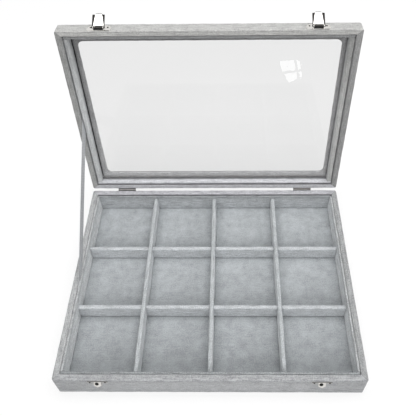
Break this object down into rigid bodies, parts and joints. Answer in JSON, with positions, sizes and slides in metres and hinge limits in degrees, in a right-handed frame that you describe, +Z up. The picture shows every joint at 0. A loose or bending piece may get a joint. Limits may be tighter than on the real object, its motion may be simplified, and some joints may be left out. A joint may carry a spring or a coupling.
{
  "type": "jewelry organizer box",
  "caption": "Flat velvet-wrapped display case for jewelry: a tray of open compartments under a hinged glazed lid with snap latches and a ribbon stay, shown open.",
  "frame": {"origin": "centre of the base's underside", "axes": "+X to the right seen from the front, +Y towards the hinges at the back, +Z up"},
  "size_m": [0.35, 0.3073, 0.3108],
  "materials": {
    "velvet": "light grey short-pile velvet",
    "felt": "thin grey felt",
    "fibreboard": "raw fibreboard",
    "nickel": "bright nickel-plated steel",
    "glass": "clear float glass",
    "ribbon": "grey satin ribbon"
  },
  "bodies": {
    "base": {"base_velvet_wrap": "velvet", "base_front_wall": "fibreboard", "base_back_wall": "fibreboard", "base_left_wall": "fibreboard", "base_right_wall": "fibreboard", "underside_felt": "felt", "base_bottom_board": "fibreboard", "floor_lining": "velvet", "liner_front": "velvet", "liner_back": "velvet", "liner_left": "velvet", "liner_right": "velvet", "long_divider_1": "velvet", "long_divider_2": "velvet", "long_divider_3": "velvet", "cross_divider_front": "velvet", "cross_divider_back": "velvet", "left_hinge_base_leaf": "nickel", "right_hinge_base_leaf": "nickel", "left_hinge_pin": "nickel", "right_hinge_pin": "nickel", "hinge_base_screws": "nickel", "left_catch_plate": "nickel", "right_catch_plate": "nickel", "catch_nails": "nickel", "ribbon_stay": "ribbon"},
    "lid": {"lid_velvet_wrap": "velvet", "lid_front_rail": "fibreboard", "lid_hinge_rail": "fibreboard", "lid_left_rail": "fibreboard", "lid_right_rail": "fibreboard", "lid_top_panel": "fibreboard", "glass_pane": "glass", "lid_lip_front": "velvet", "lid_lip_back": "velvet", "lid_lip_left": "velvet", "lid_lip_right": "velvet", "left_hinge_lid_leaf": "nickel", "right_hinge_lid_leaf": "nickel", "hinge_lid_screws": "nickel", "left_latch_plate": "nickel", "right_latch_plate": "nickel", "left_lever_pin": "nickel", "right_lever_pin": "nickel", "latch_nails": "nickel"},
    "left_latch": {"left_latch_lever": "nickel"},
    "right_latch": {"right_latch_lever": "nickel"}
  },
  "joints": [
    {"name": "lid_hinge", "type": "hinge", "parent": "base", "child": "lid", "pos_m": [0, 0.13235, 0.03615], "axis": [1, 0, 0], "range_deg": [0, 94.67], "deforming": ["ribbon_stay"]},
    {"name": "left_latch_pivot", "type": "hinge", "parent": "lid", "child": "left_latch", "pos_m": [-0.124, 0.15719, 0.30156], "axis": [1, 0, 0], "range_deg": [0, 140]},
    {"name": "right_latch_pivot", "type": "hinge", "parent": "lid", "child": "right_latch", "pos_m": [0.124, 0.15719, 0.30156], "axis": [1, 0, 0], "range_deg": [0, 140]}
  ]
}
